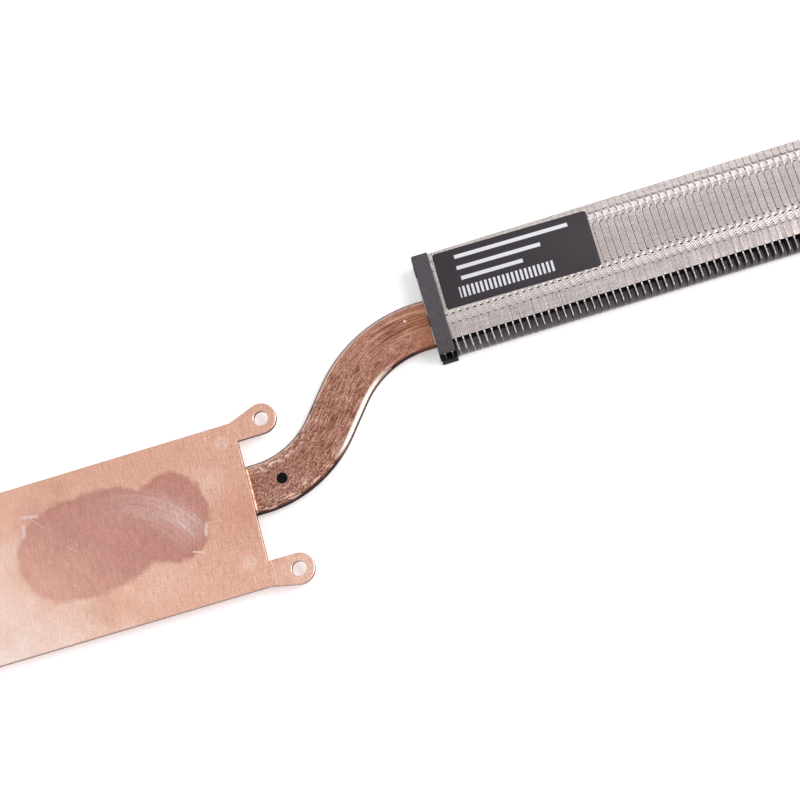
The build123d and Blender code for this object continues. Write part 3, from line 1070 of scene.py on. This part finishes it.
def foam_strip(node_name, piece_name, setback):
    """A soft-edged block in the place of one CAD strip, cut short at the front by the setback."""
    low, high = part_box(node_name)
    low.y += setback
    middle = (low + high) / 2
    strip = start_piece(piece_name, bpy.ops.mesh.primitive_cube_add, high - low, size=1.0, location=middle)
    bpy.ops.mesh.bevel(affect="EDGES", offset=foam_roll, segments=3)
    for way, cuts in ((across_y, foam_cuts_y), (straight, foam_cuts_x)):
        for part in range(1, cuts):
            bpy.ops.mesh.select_all(action="SELECT")
            bpy.ops.mesh.bisect(plane_co=low.lerp(high, part / cuts), plane_no=way)
    bpy.ops.object.mode_set(mode="OBJECT")
    for vertex in strip.data.vertices:
        push = noise.noise_vector(vertex.co / dimple_size) * foam_dimple
        glued = min(vertex.co.z - low.z, high.z - vertex.co.z) < near
        vertex.co += Vector((push.x, push.y, -abs(push.z) if glued else 0))
    bpy.ops.object.shade_smooth_by_angle(angle=foam_crease_angle)
    return strip


# Black polyurethane foam: a dull dark grey with fine closed cells, dusty above and painted darker below, a
# painted shade on the lower strip.
# The cells are about 0.1 mm and are drawn twice as coarse, so that they show in the render.
foam = new_material("closed_cell_foam")
cell_size = 0.2 * mm
foam_dust_size = 0.7 * mm
foam_place = add_node(foam, "TexCoord", {}, output="Object")
cells = add_node(foam, "TexVoronoi", {"Vector": foam_place, "Scale": 1 / cell_size})
dust = add_node(foam, "TexNoise", {"Vector": foam_place, "Scale": 1 / foam_dust_size, "Detail": 4.0})
dust = within(foam, 1.0, (dust, 0.3, 0.75))
foam_level = add_node(foam, "SeparateXYZ", {"Vector": foam_place}).node.outputs["Z"]
below = within(foam, 1.0, (foam_level, fin_bottom + near, fin_bottom - near))
foam_colour = lay_coats(foam, "4B464B", [(dust, "585258"), (below, "2B2729")])
foam_relief = add_node(foam, "Bump", {"Strength": 0.3, "Distance": 0.04 * mm, "Height": cells})
matt_foam = {"Base Color": foam_colour, "Roughness": 0.9, "Normal": foam_relief}
foam_surface = add_node(foam, "BsdfPrincipled", matt_foam)
add_node(foam, "OutputMaterial", {"Surface": foam_surface})
foam_places = (("foam_strip_top", "upper_foam", upper_setback), ("foam_strip_bottom", "lower_foam", 0.0))
for node_name, piece_name, setback in foam_places:
    strip = foam_strip(node_name, piece_name, setback)
    strip.data.materials.append(foam)
    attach(strip, "root")
    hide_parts(node_name)

# Label. A black polyester film with rounded corners, die-cut and stuck across the rear tabs of the fins.
# The print is a few plain white lines and a row of even ticks.
label_low, label_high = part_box("label")
label_length = 28.0 * mm
label_width = 10.6 * mm
label_corner = 0.55 * mm
label_edge_roll = 0.03 * mm
label_edge_angle = math.radians(50)
label_turn = math.radians(-0.9)
label_middle = (label_low + label_high) / 2
label = start_piece(
    "black_label",
    bpy.ops.mesh.primitive_plane_add,
    (label_length, label_width, 1),
    size=1.0,
    location=(label_middle.x, label_middle.y, label_low.z),
    rotation=(0, 0, label_turn),
)
bpy.ops.mesh.bevel(affect="VERTICES", offset=label_corner, segments=6)
bpy.ops.mesh.select_all(action="SELECT")
bpy.ops.mesh.extrude_region_move(TRANSFORM_OT_translate={"value": (0, 0, label_high.z - label_low.z)})
close_piece()
finish_with("BEVEL", width=label_edge_roll, segments=2, limit_method="ANGLE", angle_limit=label_edge_angle)
bpy.ops.object.shade_smooth_by_angle(angle=sharp_angle)

# Matt black polyester film with white ink: a soft grey-black sheen over a fine, faint grain
film = new_material("black_polyester_film")
film_grain_size = 0.3
turned_middle = Matrix.Rotation(-label_turn, 3, "Z") @ label_middle
film_shift = (-turned_middle.x / mm, -turned_middle.y / mm, 0)
film_place = add_node(film, "TexCoord", {}, output="Object")
film_place = add_node(
    film,
    "Mapping",
    {
        "Vector": film_place,
        "Location": film_shift,
        "Rotation": (0, 0, -label_turn),
        "Scale": (1 / mm, 1 / mm, 1 / mm),
    },
)
film_grain = add_node(film, "TexNoise", {"Vector": film_place, "Scale": 1 / film_grain_size, "Detail": 4.0})
film_coats = [(film_grain, "342D34")]

# Print: left end, height above the middle, length and width of each line, and whether it is broken into ticks
tick_pitch = 0.8
tick_edge = (0.46, 0.4)
ink_edge = (0.05, -0.05)
printed_lines = (
    (-10.3, 3.7, 20.6, 0.7, False),
    (-10.4, 1.6, 15.2, 0.7, False),
    (-10.1, -0.4, 11.2, 0.7, False),
    (-11.0, -2.9, 17.3, 2.0, True),
)
ticks = add_node(film, "SeparateXYZ", {"Vector": film_place}).node.outputs["X"]
ticks = add_node(film, "Math", {0: ticks, 1: tick_pitch}, operation="FLOORED_MODULO")
for line_left, line_height, length, width, broken in printed_lines:
    middle = (line_left + length / 2, line_height, 0)
    ink = add_node(film, "VectorMath", {0: film_place, 1: middle}, operation="SUBTRACT")
    ink = add_node(film, "VectorMath", {0: ink}, operation="ABSOLUTE")
    ink = add_node(film, "VectorMath", {0: ink, 1: (length / 2, width / 2, 0)}, operation="SUBTRACT")
    ink = add_node(film, "SeparateXYZ", {"Vector": ink}).node.outputs
    ink = add_node(film, "Math", {0: ink["X"], 1: ink["Y"]}, operation="MAXIMUM")
    ink = within(film, 1.0, (ink, *ink_edge))
    if broken:
        ink = within(film, ink, (ticks, *tick_edge))
    film_coats.append((ink, "E4E2EA"))
film_colour = lay_coats(film, "2A242A", film_coats)
film_relief = add_node(film, "Bump", {"Strength": 0.15, "Distance": 0.02 * mm, "Height": film_grain})
matt_film = {"Base Color": film_colour, "Roughness": 0.55, "Specular IOR Level": 0.4, "Normal": film_relief}
film_surface = add_node(film, "BsdfPrincipled", matt_film)
add_node(film, "OutputMaterial", {"Surface": film_surface})
label.data.materials.append(film)
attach(label, "root")
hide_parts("label")

# Stage. A white table, which shows white wherever no shadow falls, in a light tent that is bright above
# and dim low down and in front, with one soft box at the right.
floor_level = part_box("foam_strip_bottom")[0].z
floor_lift = 0.34
bpy.ops.object.select_all(action="DESELECT")
bpy.ops.mesh.primitive_plane_add(size=12.0, location=(0, 0, floor_level))
floor = bpy.context.object
floor.name = "table"
table_white = new_material("white_table")
matte = add_node(table_white, "BsdfDiffuse", {"Color": linear("F4F2F4")})
rays = add_node(table_white, "LightPath", {}).node.outputs
seen = rays["Is Camera Ray"]
for ray in ("Is Glossy Ray", "Is Transmission Ray"):
    seen = add_node(table_white, "Math", {0: seen, 1: rays[ray]}, operation="MAXIMUM")
lift = add_node(table_white, "Math", {0: seen, 1: floor_lift}, operation="MULTIPLY")
glow = add_node(table_white, "Emission", {"Color": (1, 1, 1, 1), "Strength": lift})
table_surface = add_node(table_white, "AddShader", {0: matte, 1: glow})
add_node(table_white, "OutputMaterial", {"Surface": table_surface})
floor.data.materials.append(table_white)

# The tent brightens upwards and to the right rear, and has a broad panel overhead at the left
tent = bpy.data.worlds.new("light_tent")
bpy.context.scene.world = tent
tent.use_nodes = True
tent.node_tree.nodes.clear()
tent_lean = (0.1, 0.16, 0.0)
overhead_panel = Vector((-0.55, 0.1, 0.83)).normalized()
way = add_node(tent, "TexCoord", {}, output="Generated")
up = add_node(tent, "SeparateXYZ", {"Vector": way}).node.outputs["Z"]
rise = add_node(
    tent, "MapRange", {"Value": up, "From Min": 0.0, "From Max": 0.75, "To Min": 0.2, "To Max": 0.64}
)
lean = add_node(tent, "VectorMath", {0: way, 1: tent_lean}, output="Value", operation="DOT_PRODUCT")
panel = add_node(tent, "VectorMath", {0: way, 1: overhead_panel}, output="Value", operation="DOT_PRODUCT")
panel = add_node(
    tent,
    "MapRange",
    {"Value": panel, "From Min": 0.72, "From Max": 1.0, "To Max": 0.45},
    interpolation_type="SMOOTHSTEP",
)
brightness = add_node(tent, "Math", {0: rise, 1: lean}, operation="ADD")
brightness = add_node(tent, "Math", {0: brightness, 1: panel}, operation="ADD")
sky = add_node(tent, "Background", {"Color": (1, 1, 1, 1), "Strength": brightness})
add_node(tent, "OutputWorld", {"Surface": sky})

# The soft box stands high at the right and shines on the middle of the part
box_elevation = math.radians(55)
box_distance = 0.6
aim = Vector((55, 9, 0)) * mm
towards_box = Vector((math.cos(box_elevation), 0, math.sin(box_elevation)))
box_data = bpy.data.lights.new("soft_box", "AREA")
box_data.shape = "SQUARE"
box_data.size = 0.26
box_data.energy = 1.7
soft_box = bpy.data.objects.new("soft_box", box_data)
bpy.context.collection.objects.link(soft_box)
soft_box.location = aim + towards_box * box_distance
soft_box.rotation_euler = towards_box.to_track_quat("Z", "Y").to_euler()

# The camera is placed to match the photo
camera_data = bpy.data.cameras.new("camera")
camera_data.sensor_width = 36.0
camera_data.lens = 72.0
camera = bpy.data.objects.new("camera", camera_data)
bpy.context.collection.objects.link(camera)
camera.location = Vector((72.269, -65.15, 267.917)) * mm
camera.rotation_euler = [math.radians(turn) for turn in (14.051, 7.659, -15.379)]
bpy.context.scene.camera = camera
bpy.context.scene.view_settings.view_transform = "Standard"
